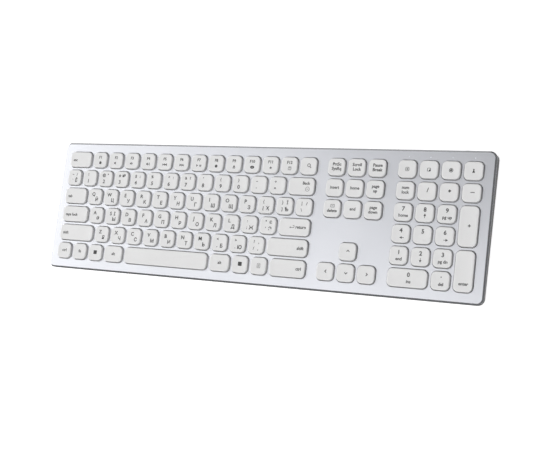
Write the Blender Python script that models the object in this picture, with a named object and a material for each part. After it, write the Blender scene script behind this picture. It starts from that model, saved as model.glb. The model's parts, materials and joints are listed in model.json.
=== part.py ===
"""Slim full-size keyboard with a numeric keypad, in metres, +Z up.

The long side runs along X, the rear edge faces +Y, and the rubber feet stand on z = 0.
The top plate slopes down to the front. The plate, the keys and the layers under them are drawn
flat, in the deck's frame: z = 0 there is the plate's top face, and the deck empty tilts it.
"""

import math

import bmesh
import bpy
from mathutils import Matrix

# Key field
PITCH_X = 0.0190  # one key unit along a row
PITCH_Y = 0.0184  # from row to row
KEY_GAP = 0.0030  # between two neighbouring keycaps
KEY_CORNER = 0.0042  # radius of a keycap's corners in plan
BLOCK_GAP = 0.0079  # extra space between main block, navigation block and keypad
ROWS = 6
MAIN_UNITS = 14.5
NAVIGATION_UNITS = 3
KEYPAD_UNITS = 4

# Keycaps, heights in the deck's frame
KEY_TOP = 0.0021
KEY_SKIRT_BOTTOM = -0.00175
KEY_POCKET_TOP = 0.0009
KEY_WALL = 0.0017
WEB_TOP = -0.0014
WEB_BOTTOM = -0.00165
WEB_WIDTH = 0.0030
WEB_HOLD = 0.0008  # how far a web runs into a keycap's wall

# Case
MARGIN_X = 0.0083  # from the key field to the plate's side edge
MARGIN_Y = 0.00805
PLATE_CORNER = 0.0060
PLATE_THICKNESS = 0.00125
CHAMFER_WIDTH = 0.0015  # seen from above
CHAMFER_DEPTH = 0.0009
HOLE_CLEARANCE = 0.0006  # around each keycap
REAR_THICKNESS = 0.0100  # underside of the cover to the plate's top face
FRONT_THICKNESS = 0.0055
COVER_INSET = 0.0002
COVER_WALL = 0.0016
COVER_FLOOR = 0.0011
SEAM = 0.0001  # between stacked pieces
FOOT_HEIGHT = 0.0010

# Layers under the keys, heights in the deck's frame
DOME_TOP = -0.0010
SHEET_TOP = -0.00345
SHEET_BOTTOM = -0.00365
MEMBRANE_TOP = -0.00375
MEMBRANE_BOTTOM = -0.00390
SUPPORT_TOP = -0.0040
SUPPORT_BOTTOM = -0.0045
CAVITY_BOTTOM = -0.0046
LAYER_MARGIN = 0.0005  # the layers end this far inside the key field
DOME_BASE_RADIUS = 0.0036
DOME_CAP_RADIUS = 0.0020

# Ribs, bays and screws in the cover
RIB_CENTRES = (-0.1322, -0.0673, 0.0, 0.0673, 0.1322)
RIB_WIDTH = 0.0060
BAY_FRONT = -0.0380
BAY_END_GAP = 0.0040  # from the outermost bays to the cover's side walls
SCREW_X = 0.1322
SCREW_YS = (-0.0220, 0.0300)
SCREW_HEAD_RADIUS = 0.0019
SCREW_HEAD_HEIGHT = 0.0010
SCREW_SHANK_RADIUS = 0.0010
CLEARANCE = 0.0003  # round screws, socket, board and knob
COUNTERBORE_DEPTH = 0.0014

# Feet
FOOT_LENGTH = 0.0340
FOOT_WIDTH = 0.0070
FOOT_X = 0.1900
FOOT_Y = 0.0520

# Electronics
BATTERY_SIZE = (0.0540, 0.0270, 0.0026)
BATTERY_CENTRE = (0.0336, 0.0405)
BATTERY_CORNER = 0.0015
BOARD_SIZE = (0.0600, 0.0240, 0.0008)
BOARD_CENTRE = (0.1800, 0.0486)
CHIP_SIZE = (0.0070, 0.0070, 0.0010)
CHIP_PLACE = (-0.0200, -0.0040)  # from the board's centre
SHIELD_SIZE = (0.0120, 0.0100, 0.0014)
SHIELD_PLACE = (0.0100, -0.0050)
SWITCH_SIZE = (0.0090, 0.0032, 0.0034)
SWITCH_GAP = 0.0006  # from the switch to the board's rear edge
SOLDERED = 0.0001  # how far the parts sink into the board
SOCKET_X = 0.1640
SOCKET_SIZE = (0.0090, 0.0073, 0.0032)
SOCKET_SHELL = 0.0003
SOCKET_RECESS = 0.0004
SOCKET_BACK = 0.0010
TONGUE_SIZE = (0.0066, 0.0053, 0.0007)
SLIDER_X = 0.1949
SLIDER_TRAVEL = 0.0025
KNOB_SIZE = (0.0034, 0.0032, 0.0018)
KNOB_PROUD = 0.0008
KNOB_TOP = -0.0024
FLANGE_SIZE = (0.0100, 0.0008, 0.0028)
LENS_RADIUS = 0.0007
LENS_CLEARANCE = 0.0001
LENS_SETBACK = 0.0018  # behind the key field
GUIDE_BAR_TOP = -0.0014
GUIDE_BAR_HEIGHT = 0.0010
GUIDE_BAR_WIDTH = 0.0020

FIELD_WIDTH = (MAIN_UNITS + NAVIGATION_UNITS + KEYPAD_UNITS) * PITCH_X + 2 * BLOCK_GAP
FIELD_DEPTH = ROWS * PITCH_Y
PLATE_WIDTH = FIELD_WIDTH + 2 * MARGIN_X
PLATE_DEPTH = FIELD_DEPTH + 2 * MARGIN_Y
COVER_WIDTH = PLATE_WIDTH - 2 * COVER_INSET
COVER_DEPTH = PLATE_DEPTH - 2 * COVER_INSET
REAR_WALL_INSIDE = COVER_DEPTH / 2 - COVER_WALL
TILT = math.atan((REAR_THICKNESS - FRONT_THICKNESS) / PLATE_DEPTH)
DECK_HEIGHT = FOOT_HEIGHT + (REAR_THICKNESS + FRONT_THICKNESS) / 2

# Where each block starts, as the X of its left edge in the deck's frame
MAIN_X = -FIELD_WIDTH / 2
NAVIGATION_X = MAIN_X + MAIN_UNITS * PITCH_X + BLOCK_GAP
KEYPAD_X = NAVIGATION_X + NAVIGATION_UNITS * PITCH_X + BLOCK_GAP

# Key groups of the main block: name, row, start in units, and the width of each key in units
KEY_GROUPS = (
    ("function_row_keys", 0, 0, (1.5,) + (1,) * 13),
    ("number_row_keys", 1, 0, (1,) * 13 + (1.5,)),
    ("upper_letter_row_keys", 2, 0, (1.5,) + (1,) * 13),
    ("home_row_keys", 3, 0, (1.75,) + (1,) * 11 + (1.75,)),
    ("lower_letter_row_keys", 4, 0, (2.25,) + (1,) * 10 + (2.25,)),
    ("left_modifier_keys", 5, 0, (1, 1, 1, 1.25)),
    ("space_bar", 5, 4.25, (5,)),
    ("right_modifier_keys", 5, 9.25, (1.25, 1, 1, 2)),
)
# Single keys: name, column, row, width in units and, for a tall key, rows
NAVIGATION_KEYS = (
    ("print_screen_key", 0, 0, 1, 1),
    ("scroll_lock_key", 1, 0, 1, 1),
    ("pause_key", 2, 0, 1, 1),
    ("insert_key", 0, 1, 1, 1),
    ("home_key", 1, 1, 1, 1),
    ("page_up_key", 2, 1, 1, 1),
    ("delete_key", 0, 2, 1, 1),
    ("end_key", 1, 2, 1, 1),
    ("page_down_key", 2, 2, 1, 1),
    ("up_arrow_key", 1, 4, 1, 1),
    ("left_arrow_key", 0, 5, 1, 1),
    ("down_arrow_key", 1, 5, 1, 1),
    ("right_arrow_key", 2, 5, 1, 1),
)
KEYPAD_KEYS = (
    ("shortcut_1_key", 0, 0, 1, 1),
    ("shortcut_2_key", 1, 0, 1, 1),
    ("shortcut_3_key", 2, 0, 1, 1),
    ("shortcut_4_key", 3, 0, 1, 1),
    ("num_lock_key", 0, 1, 1, 1),
    ("keypad_divide_key", 1, 1, 1, 1),
    ("keypad_multiply_key", 2, 1, 1, 1),
    ("keypad_minus_key", 3, 1, 1, 1),
    ("keypad_7_key", 0, 2, 1, 1),
    ("keypad_8_key", 1, 2, 1, 1),
    ("keypad_9_key", 2, 2, 1, 1),
    ("keypad_plus_key", 3, 2, 1, 2),
    ("keypad_4_key", 0, 3, 1, 1),
    ("keypad_5_key", 1, 3, 1, 1),
    ("keypad_6_key", 2, 3, 1, 1),
    ("keypad_1_key", 0, 4, 1, 1),
    ("keypad_2_key", 1, 4, 1, 1),
    ("keypad_3_key", 2, 4, 1, 1),
    ("keypad_enter_key", 3, 4, 1, 2),
    ("keypad_0_key", 0, 5, 2, 1),
    ("keypad_point_key", 2, 5, 1, 1),
)
LENS_XS = [KEYPAD_X + (column + 0.5) * PITCH_X for column in range(KEYPAD_UNITS)]
LENS_Y = FIELD_DEPTH / 2 + LENS_SETBACK

CORNER_STEPS = 2  # straight pieces to a keycap's corner
CASE_CORNER_STEPS = 4
ROUND_SIDES = 8
DOME_SIDES = 6
OVERSHOOT = 0.002  # how far a cutter runs past what it cuts
WELD = 0.00001  # points closer than this are one point
END_FLAT = 0.00005  # kept between the two arcs of a rounded end


def clear_scene():
    for thing in list(bpy.data.objects):
        bpy.data.objects.remove(thing)


def collection(name):
    made = bpy.data.collections.new(name)
    bpy.context.scene.collection.children.link(made)
    return made


def material(name, colour, roughness, metallic=0.0):
    made = bpy.data.materials.new(name)
    made.use_nodes = True
    shader = made.node_tree.nodes["Principled BSDF"]
    shader.inputs["Base Color"].default_value = (*colour, 1)
    shader.inputs["Roughness"].default_value = roughness
    shader.inputs["Metallic"].default_value = metallic
    return made


def make_materials():
    return {
        "key": material("key_plastic", (0.78, 0.78, 0.78), 0.45),
        "plate": material("plate_aluminium", (0.74, 0.75, 0.79), 0.35, 0.9),
        "cover": material("cover_plastic", (0.34, 0.34, 0.35), 0.5),
        "steel": material("plain_steel", (0.55, 0.56, 0.58), 0.35, 1.0),
        "rubber": material("foot_rubber", (0.06, 0.06, 0.065), 0.8),
        "silicone": material("dome_silicone", (0.80, 0.80, 0.76), 0.6),
        "film": material("membrane_film", (0.72, 0.76, 0.74), 0.3),
        "board": material("board_laminate", (0.03, 0.17, 0.08), 0.5),
        "battery": material("battery_pouch", (0.62, 0.63, 0.65), 0.4, 0.6),
        "lens": material("lens_acrylic", (0.88, 0.90, 0.95), 0.2),
        "knob": material("knob_plastic", (0.10, 0.10, 0.11), 0.5),
    }


def rounded(x, y, width, depth, radius=0.0, steps=CORNER_STEPS):
    """Anticlockwise outline of a rectangle about (x, y) with round corners."""
    if radius == 0:
        steps = 0
    points = []
    for corner, (side, end) in enumerate(((1, 1), (-1, 1), (-1, -1), (1, -1))):
        for step in range(steps + 1):
            angle = math.radians(90) * (corner + (step / steps if steps else 0))
            points.append(
                (
                    x + side * (width / 2 - radius) + radius * math.cos(angle),
                    y + end * (depth / 2 - radius) + radius * math.sin(angle),
                )
            )
    return points


def round_hole(x, y, radius, sides=ROUND_SIDES):
    """Outline of a round hole whose flats clear the radius."""
    reach = radius / math.cos(math.pi / sides)
    turns = [math.tau * (side + 0.5) / sides for side in range(sides)]
    return [(x + reach * math.cos(turn), y + reach * math.sin(turn)) for turn in turns]


def place(name, mesh, home, parent=None, location=(0, 0, 0), finish=None):
    """A mesh as a named object in a collection."""
    made = bpy.data.objects.new(name, mesh)
    home.objects.link(made)
    made.parent = parent
    made.location = location
    if finish is None:
        made.hide_render = True
        made.display_type = "WIRE"
    else:
        mesh.materials.append(finish)
    return made


def prism_mesh(name, outlines, bottom, top):
    """Flat outlines extruded from bottom to top. An outline inside another is a hole in it."""
    curve = bpy.data.curves.new(name, "CURVE")
    curve.dimensions = "2D"
    curve.fill_mode = "BOTH"
    curve.extrude = (top - bottom) / 2
    for points in outlines:
        spline = curve.splines.new("POLY")
        spline.points.add(len(points) - 1)
        spline.use_cyclic_u = True
        for point, (x, y) in zip(spline.points, points):
            point.co = (x, y, 0, 1)
    drawn = bpy.data.objects.new(name, curve)
    drawn.location.z = (top + bottom) / 2
    bpy.context.scene.collection.objects.link(drawn)
    bpy.context.view_layer.update()
    evaluated = drawn.evaluated_get(bpy.context.evaluated_depsgraph_get())
    mesh = bpy.data.meshes.new_from_object(evaluated)
    mesh.transform(drawn.matrix_world)
    bpy.data.objects.remove(drawn)
    bpy.data.curves.remove(curve)
    shape = bmesh.new()
    shape.from_mesh(mesh)
    bmesh.ops.remove_doubles(shape, verts=shape.verts, dist=WELD)
    bmesh.ops.recalc_face_normals(shape, faces=shape.faces)
    shape.to_mesh(mesh)
    shape.free()
    mesh.materials.clear()
    return mesh


def box_mesh(name, boxes):
    """Boxes in one mesh, each as its centre and its size."""
    shape = bmesh.new()
    for centre, size in boxes:
        grown = Matrix.Translation(centre) @ Matrix.Diagonal((*size, 1))
        bmesh.ops.create_cube(shape, size=1, matrix=grown)
    mesh = bpy.data.meshes.new(name)
    shape.to_mesh(mesh)
    shape.free()
    return mesh


def cone_mesh(name, places, bottom, top, low_radius, high_radius, sides=ROUND_SIDES):
    """Upright cones or cylinders at the (x, y) places, in one mesh."""
    shape = bmesh.new()
    for x, y in places:
        bmesh.ops.create_cone(
            shape,
            cap_ends=True,
            segments=sides,
            radius1=low_radius,
            radius2=high_radius,
            depth=top - bottom,
            matrix=Matrix.Translation((x, y, (top + bottom) / 2)),
        )
    mesh = bpy.data.meshes.new(name)
    shape.to_mesh(mesh)
    shape.free()
    return mesh


def stacked_mesh(name, levels):
    """The plate's outline at a few levels, each as its inset and height, joined to a solid."""
    shape = bmesh.new()
    rings = []
    for inset, height in levels:
        width, depth = PLATE_WIDTH - 2 * inset, PLATE_DEPTH - 2 * inset
        outline = rounded(0, 0, width, depth, PLATE_CORNER - inset, CASE_CORNER_STEPS)
        rings.append([shape.verts.new((x, y, height)) for x, y in outline])
    shape.faces.new(reversed(rings[0]))
    shape.faces.new(rings[-1])
    for lower, upper in zip(rings, rings[1:]):
        for index in range(len(lower)):
            shape.faces.new((lower[index - 1], lower[index], upper[index], upper[index - 1]))
    mesh = bpy.data.meshes.new(name)
    shape.to_mesh(mesh)
    shape.free()
    return mesh


def combine(part, other, operation):
    """Cuts another object out of a part, or joins it on."""
    step = part.modifiers.new(other.name, "BOOLEAN")
    step.operation = operation
    step.solver = "EXACT"
    step.object = other


class Keyboard:
    """The collections, the deck and the materials that the pieces share."""

    def __init__(self):
        self.parts = collection("keyboard")
        self.cutters = collection("keyboard_cutters")
        self.finish = make_materials()
        self.deck = bpy.data.objects.new("deck", None)
        self.deck.location.z = DECK_HEIGHT
        self.deck.rotation_euler.x = TILT
        self.parts.objects.link(self.deck)

    def part(self, name, mesh, finish, location=(0, 0, 0), on_deck=True):
        parent = self.deck if on_deck else None
        return place(name, mesh, self.parts, parent, location, self.finish[finish])

    def cut(self, part, name, mesh, on_deck=True, location=(0, 0, 0)):
        parent = self.deck if on_deck else None
        cutter = place(name, mesh, self.cutters, parent, location)
        combine(part, cutter, "DIFFERENCE")

    def join(self, part, name, mesh, on_deck=True, location=(0, 0, 0)):
        parent = self.deck if on_deck else None
        helper = place(name, mesh, self.cutters, parent, location)
        combine(part, helper, "UNION")


def key_place(block_x, column, row, units, rows=1):
    """Centre and size in plan of the keycap that fills some cells of a block."""
    centre_x = block_x + (column + units / 2) * PITCH_X
    centre_y = FIELD_DEPTH / 2 - (row + rows / 2) * PITCH_Y
    return centre_x, centre_y, units * PITCH_X - KEY_GAP, rows * PITCH_Y - KEY_GAP


def group_keys():
    """Name of each key group and the places of its keycaps."""
    for name, row, start, widths in KEY_GROUPS:
        columns = [start + sum(widths[:index]) for index in range(len(widths))]
        cells = zip(columns, widths)
        yield name, [key_place(MAIN_X, column, row, units) for column, units in cells]


def single_keys():
    """Name of each single key and the place of its keycap."""
    for block_x, keys in ((NAVIGATION_X, NAVIGATION_KEYS), (KEYPAD_X, KEYPAD_KEYS)):
        for name, column, row, units, rows in keys:
            yield name, key_place(block_x, column, row, units, rows)


def all_keys():
    places = [spot for _, spots in group_keys() for spot in spots]
    return places + [spot for _, spot in single_keys()]


def make_keycaps(keyboard, name, spots):
    """Hollow keycaps. The caps of a group hang together by thin webs under the plate."""
    middle_x = (spots[0][0] + spots[-1][0]) / 2
    middle_y = spots[0][1]
    caps = [(x - middle_x, y - middle_y, width, depth) for x, y, width, depth in spots]
    origin = (middle_x, middle_y, 0)
    outlines = [rounded(*cap, KEY_CORNER) for cap in caps]
    solid = prism_mesh(name, outlines, KEY_SKIRT_BOTTOM, KEY_TOP)
    part = keyboard.part(name, solid, "key", origin)
    webs = []
    for (x, y, width, _), (next_x, _, next_width, _) in zip(caps, caps[1:]):
        left = x + width / 2 - WEB_HOLD
        right = next_x - next_width / 2 + WEB_HOLD
        centre = ((left + right) / 2, y, (WEB_TOP + WEB_BOTTOM) / 2)
        webs.append((centre, (right - left, WEB_WIDTH, WEB_TOP - WEB_BOTTOM)))
    if webs:
        keyboard.join(part, name + "_webs", box_mesh(name + "_webs", webs), location=origin)
    low = KEY_SKIRT_BOTTOM - OVERSHOOT
    pockets = [
        (
            (x, y, (low + KEY_POCKET_TOP) / 2),
            (width - 2 * KEY_WALL, depth - 2 * KEY_WALL, KEY_POCKET_TOP - low),
        )
        for x, y, width, depth in caps
    ]
    hollow = box_mesh(name + "_pockets", pockets)
    keyboard.cut(part, name + "_pockets", hollow, location=origin)


def make_top_plate(keyboard):
    """Sheet of aluminium with a cut chamfer, a hole for each keycap and four lens holes."""
    levels = ((0, -PLATE_THICKNESS), (0, -CHAMFER_DEPTH), (CHAMFER_WIDTH, 0))
    part = keyboard.part("top_plate", stacked_mesh("top_plate", levels), "plate")
    grow = 2 * HOLE_CLEARANCE
    radius = KEY_CORNER + HOLE_CLEARANCE
    holes = [rounded(x, y, w + grow, d + grow, radius) for x, y, w, d in all_keys()]
    holes += [round_hole(x, LENS_Y, LENS_RADIUS + LENS_CLEARANCE, DOME_SIDES) for x in LENS_XS]
    cutter = prism_mesh("plate_holes", holes, -PLATE_THICKNESS - OVERSHOOT, OVERSHOOT)
    keyboard.cut(part, "plate_holes", cutter)


def make_layers(keyboard):
    """Silicone dome sheet, membrane and steel support plate, stacked under the keys."""
    width = FIELD_WIDTH - 2 * LAYER_MARGIN
    depth = FIELD_DEPTH - 2 * LAYER_MARGIN
    layer = rounded(0, 0, width, depth)
    sheet = prism_mesh("rubber_dome_sheet", [layer], SHEET_BOTTOM, SHEET_TOP)
    part = keyboard.part("rubber_dome_sheet", sheet, "silicone")
    spots = [(x, y) for x, y, _, _ in all_keys()]
    foot = (SHEET_BOTTOM + SHEET_TOP) / 2
    domes = cone_mesh(
        "domes", spots, foot, DOME_TOP, DOME_BASE_RADIUS, DOME_CAP_RADIUS, DOME_SIDES
    )
    keyboard.join(part, "domes", domes)
    film = prism_mesh("membrane_sheet", [layer], MEMBRANE_BOTTOM, MEMBRANE_TOP)
    keyboard.part("membrane_sheet", film, "film")
    bore = SCREW_SHANK_RADIUS + CLEARANCE
    holes = [round_hole(x, y, bore) for x, y in screw_places()]
    steel = prism_mesh("support_plate", [layer, *holes], SUPPORT_BOTTOM, SUPPORT_TOP)
    keyboard.part("support_plate", steel, "steel")


def make_light_guide(keyboard):
    """Four lenses under the plate's small holes, moulded on one bar."""
    reach = LENS_XS[-1] - LENS_XS[0] + 2 * GUIDE_BAR_WIDTH
    middle = (LENS_XS[0] + LENS_XS[-1]) / 2
    bar = box_mesh(
        "indicator_light_guide",
        [((0, 0, -GUIDE_BAR_HEIGHT / 2), (reach, GUIDE_BAR_WIDTH, GUIDE_BAR_HEIGHT))],
    )
    origin = (middle, LENS_Y, GUIDE_BAR_TOP)
    part = keyboard.part("indicator_light_guide", bar, "lens", origin)
    pins = cone_mesh(
        "light_guide_pins",
        [(x - middle, 0) for x in LENS_XS],
        -GUIDE_BAR_HEIGHT / 2,
        -GUIDE_BAR_TOP,
        LENS_RADIUS,
        LENS_RADIUS,
        DOME_SIDES,
    )
    keyboard.join(part, "light_guide_pins", pins, location=origin)


def bay_boxes():
    """The spaces between the cover's ribs, down to its floor."""
    half = RIB_WIDTH / 2
    ends = COVER_WIDTH / 2 - COVER_WALL - BAY_END_GAP
    lefts = [-ends] + [rib + half for rib in RIB_CENTRES]
    rights = [rib - half for rib in RIB_CENTRES] + [ends]
    floor = FOOT_HEIGHT + COVER_FLOOR
    roof = FOOT_HEIGHT + REAR_THICKNESS
    middle_y = (BAY_FRONT + REAR_WALL_INSIDE) / 2
    size_y = REAR_WALL_INSIDE - BAY_FRONT
    return [
        (((left + right) / 2, middle_y, (floor + roof) / 2), (right - left, size_y, roof - floor))
        for left, right in zip(lefts, rights)
    ]


def screw_places():
    return [(side * SCREW_X, y) for y in SCREW_YS for side in (-1, 1)]


def make_bottom_cover(keyboard):
    """Tray with a sloping rim, ribs that carry the support plate, and its rear openings."""
    corner = PLATE_CORNER - COVER_INSET
    outline = rounded(0, 0, COVER_WIDTH, COVER_DEPTH, corner, CASE_CORNER_STEPS)
    block = prism_mesh("bottom_cover", [outline], FOOT_HEIGHT, FOOT_HEIGHT + REAR_THICKNESS)
    part = keyboard.part("bottom_cover", block, "cover", on_deck=False)
    rim = -PLATE_THICKNESS - SEAM
    above = ((0, 0, rim + REAR_THICKNESS), (2 * COVER_WIDTH, 2 * COVER_DEPTH, 2 * REAR_THICKNESS))
    keyboard.cut(part, "rim_plane", box_mesh("rim_plane", [above]))
    inner = rounded(
        0,
        0,
        COVER_WIDTH - 2 * COVER_WALL,
        COVER_DEPTH - 2 * COVER_WALL,
        corner - COVER_WALL,
        CORNER_STEPS,
    )
    keyboard.cut(part, "cavity", prism_mesh("cavity", [inner], CAVITY_BOTTOM, OVERSHOOT))
    keyboard.cut(part, "bays", box_mesh("bays", bay_boxes()), on_deck=False)
    bore = SCREW_SHANK_RADIUS + CLEARANCE
    seat = SCREW_HEAD_RADIUS + CLEARANCE
    top = FOOT_HEIGHT + COUNTERBORE_DEPTH
    shanks = [round_hole(x, y, bore) for x, y in screw_places()]
    heads = [round_hole(x, y, seat) for x, y in screw_places()]
    cutter = prism_mesh("screw_bores", shanks, FOOT_HEIGHT, FOOT_HEIGHT + REAR_THICKNESS)
    keyboard.cut(part, "screw_bores", cutter, on_deck=False)
    cutter = prism_mesh("screw_seats", heads, FOOT_HEIGHT - OVERSHOOT, top)
    keyboard.cut(part, "screw_seats", cutter, on_deck=False)
    cut_rear_openings(keyboard, part)


def cut_rear_openings(keyboard, part):
    """The slot for the switch's knob and the mouth of the charging socket."""
    wall_y = COVER_DEPTH / 2 - COVER_WALL / 2
    slot_width = KNOB_SIZE[0] + SLIDER_TRAVEL + 2 * CLEARANCE
    slot_height = KNOB_SIZE[2] + 2 * CLEARANCE
    slot_centre = (SLIDER_X + SLIDER_TRAVEL / 2, wall_y, KNOB_TOP - KNOB_SIZE[2] / 2)
    slot = [(slot_centre, (slot_width, 2 * COVER_WALL, slot_height))]
    keyboard.cut(part, "knob_slot", box_mesh("knob_slot", slot))
    mouth = socket_outline(CLEARANCE)
    cutter = prism_mesh("socket_mouth", [mouth], -COVER_WALL, COVER_WALL)
    cutter.transform(Matrix.Rotation(math.radians(90), 4, "X"))
    location = (SOCKET_X, wall_y, socket_height())
    keyboard.cut(part, "socket_mouth", cutter, on_deck=False, location=location)


def socket_outline(growth):
    """Outline of the charging socket's shell about its own centre."""
    width = SOCKET_SIZE[0] + 2 * growth
    height = SOCKET_SIZE[2] + 2 * growth
    return rounded(0, 0, width, height, height / 2 - END_FLAT, CORNER_STEPS)


def board_top():
    return FOOT_HEIGHT + COVER_FLOOR + CLEARANCE + BOARD_SIZE[2]


def socket_height():
    """Height of the charging socket's centre line."""
    return board_top() + SEAM + SOCKET_SIZE[2] / 2


def make_charging_socket(keyboard):
    """Metal shell, open to the rear, with the contact tongue inside."""
    depth = SOCKET_SIZE[1]
    shell = prism_mesh("usb_c_socket", [socket_outline(0)], 0, depth)
    mouth_y = COVER_DEPTH / 2 - SOCKET_RECESS
    origin = (SOCKET_X, mouth_y, socket_height())
    upright = Matrix.Rotation(math.radians(90), 4, "X")
    shell.transform(upright)
    part = keyboard.part("usb_c_socket", shell, "steel", origin, on_deck=False)
    inside = socket_outline(-SOCKET_SHELL)
    hollow = prism_mesh("socket_hollow", [inside], -OVERSHOOT, depth - SOCKET_BACK)
    hollow.transform(upright)
    keyboard.cut(part, "socket_hollow", hollow, on_deck=False, location=origin)
    tongue = box_mesh("socket_tongue", [((0, -depth / 2, 0), TONGUE_SIZE)])
    keyboard.join(part, "socket_tongue", tongue, on_deck=False, location=origin)


def make_controller_board(keyboard):
    """Circuit board with its main chip, radio shield and the body of the power switch."""
    x, y = BOARD_CENTRE
    top = BOARD_SIZE[2] / 2
    origin = (x, y, board_top() - top)
    laminate = box_mesh("controller_board", [((0, 0, 0), BOARD_SIZE)])
    part = keyboard.part("controller_board", laminate, "board", origin, on_deck=False)
    switch_place = (SLIDER_X - x, (BOARD_SIZE[1] - SWITCH_SIZE[1]) / 2 - SWITCH_GAP)
    fitted = ((CHIP_PLACE, CHIP_SIZE), (SHIELD_PLACE, SHIELD_SIZE), (switch_place, SWITCH_SIZE))
    lumps = [((*spot, top - SOLDERED + size[2] / 2), size) for spot, size in fitted]
    fittings = box_mesh("board_fittings", lumps)
    keyboard.join(part, "board_fittings", fittings, on_deck=False, location=origin)


def make_battery(keyboard):
    width, depth, height = BATTERY_SIZE
    bottom = FOOT_HEIGHT + COVER_FLOOR + SEAM
    outline = rounded(0, 0, width, depth, BATTERY_CORNER)
    pouch = prism_mesh("battery_pack", [outline], -height / 2, height / 2)
    origin = (*BATTERY_CENTRE, bottom + height / 2)
    keyboard.part("battery_pack", pouch, "battery", origin, on_deck=False)


def make_power_switch(keyboard):
    """Knob that stands out of the rear wall, with a flange that keeps it inside."""
    tip_y = COVER_DEPTH / 2 + KNOB_PROUD
    origin = (SLIDER_X, tip_y, KNOB_TOP - KNOB_SIZE[2] / 2)
    knob = box_mesh("power_switch_slider", [((0, -KNOB_SIZE[1] / 2, 0), KNOB_SIZE)])
    part = keyboard.part("power_switch_slider", knob, "knob", origin)
    flange_y = REAR_WALL_INSIDE - CLEARANCE - FLANGE_SIZE[1] / 2 - tip_y
    flange = box_mesh("knob_flange", [((0, flange_y, 0), FLANGE_SIZE)])
    keyboard.join(part, "knob_flange", flange, location=origin)


def make_feet(keyboard):
    outline = rounded(0, 0, FOOT_LENGTH, FOOT_WIDTH, FOOT_WIDTH / 2 - END_FLAT)
    for end, y in (("rear", FOOT_Y), ("front", -FOOT_Y)):
        for side, x in (("left", -FOOT_X), ("right", FOOT_X)):
            name = f"{end}_{side}_foot"
            pad = prism_mesh(name, [outline], 0, FOOT_HEIGHT - SEAM)
            keyboard.part(name, pad, "rubber", (x, y, 0), on_deck=False)


def make_screws(keyboard):
    """Pan-head screws from below, through the cover's ribs and into the support plate."""
    names = ("front_left", "front_right", "rear_left", "rear_right")
    seat = FOOT_HEIGHT + COUNTERBORE_DEPTH - SEAM
    for name, (x, y) in zip(names, screw_places()):
        tip = DECK_HEIGHT + y * math.tan(TILT) + SUPPORT_TOP - 2 * SEAM - seat
        head = cone_mesh(
            name, [(0, 0)], -SCREW_HEAD_HEIGHT, 0, SCREW_HEAD_RADIUS, SCREW_HEAD_RADIUS
        )
        part = keyboard.part(name + "_screw", head, "steel", (x, y, seat), on_deck=False)
        shank = cone_mesh(
            name, [(0, 0)], -SCREW_HEAD_HEIGHT / 2, tip, SCREW_SHANK_RADIUS, SCREW_SHANK_RADIUS
        )
        keyboard.join(part, name + "_shank", shank, on_deck=False, location=(x, y, seat))


def main():
    clear_scene()
    keyboard = Keyboard()
    make_top_plate(keyboard)
    make_bottom_cover(keyboard)
    make_layers(keyboard)
    make_light_guide(keyboard)
    make_controller_board(keyboard)
    make_battery(keyboard)
    make_charging_socket(keyboard)
    make_power_switch(keyboard)
    make_feet(keyboard)
    make_screws(keyboard)
    for name, spots in group_keys():
        make_keycaps(keyboard, name, spots)
    for name, spot in single_keys():
        make_keycaps(keyboard, name, [spot])


main()
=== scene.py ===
"""Looks of the slim full-size keyboard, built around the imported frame. Lengths are in metres."""

import json
import math

import bmesh
import bpy
from mathutils import Matrix, Vector

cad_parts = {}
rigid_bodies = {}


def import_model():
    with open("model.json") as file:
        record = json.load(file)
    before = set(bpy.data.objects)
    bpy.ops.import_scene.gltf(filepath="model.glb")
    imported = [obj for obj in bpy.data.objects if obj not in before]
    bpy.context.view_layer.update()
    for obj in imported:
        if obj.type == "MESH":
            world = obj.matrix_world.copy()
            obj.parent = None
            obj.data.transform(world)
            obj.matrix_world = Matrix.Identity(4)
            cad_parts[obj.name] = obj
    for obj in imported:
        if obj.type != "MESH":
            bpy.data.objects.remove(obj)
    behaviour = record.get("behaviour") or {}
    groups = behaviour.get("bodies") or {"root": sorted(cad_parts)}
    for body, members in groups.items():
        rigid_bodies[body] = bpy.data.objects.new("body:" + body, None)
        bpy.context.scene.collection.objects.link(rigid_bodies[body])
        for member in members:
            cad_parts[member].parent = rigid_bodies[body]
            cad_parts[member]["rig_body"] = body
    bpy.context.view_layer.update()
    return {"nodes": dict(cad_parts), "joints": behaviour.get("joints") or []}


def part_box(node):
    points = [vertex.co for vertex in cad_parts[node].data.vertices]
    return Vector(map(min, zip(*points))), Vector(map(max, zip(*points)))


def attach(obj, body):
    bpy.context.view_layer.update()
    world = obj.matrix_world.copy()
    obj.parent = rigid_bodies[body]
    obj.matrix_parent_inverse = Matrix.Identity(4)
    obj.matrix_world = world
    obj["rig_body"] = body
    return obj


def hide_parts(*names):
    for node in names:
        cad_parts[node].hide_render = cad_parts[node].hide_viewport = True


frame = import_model()

MM = 0.001

# The deck's frame: the plate's top face is z = 0 there, and the keys go straight down.
PRESS = next(joint for joint in frame["joints"] if joint["axis"][2] < 0)
TILT = math.atan2(PRESS["axis"][1], -PRESS["axis"][2])
DECK_TURN = Matrix.Rotation(TILT, 4, "X")


def turned_box(node, to_frame):
    """Lowest and highest corner of a CAD node in another frame."""
    places = [to_frame @ vert.co for vert in frame["nodes"][node].data.vertices]
    low = Vector([min(place[axis] for place in places) for axis in range(3)])
    high = Vector([max(place[axis] for place in places) for axis in range(3)])
    return low, high


plate_low, plate_high = turned_box("top_plate", DECK_TURN.inverted())
plate_middle = (plate_low + plate_high) / 2
DECK = DECK_TURN @ Matrix.Translation((plate_middle.x, plate_middle.y, plate_high.z))
TO_DECK = DECK.inverted()


def deck_box(node):
    return turned_box(node, TO_DECK)


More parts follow.
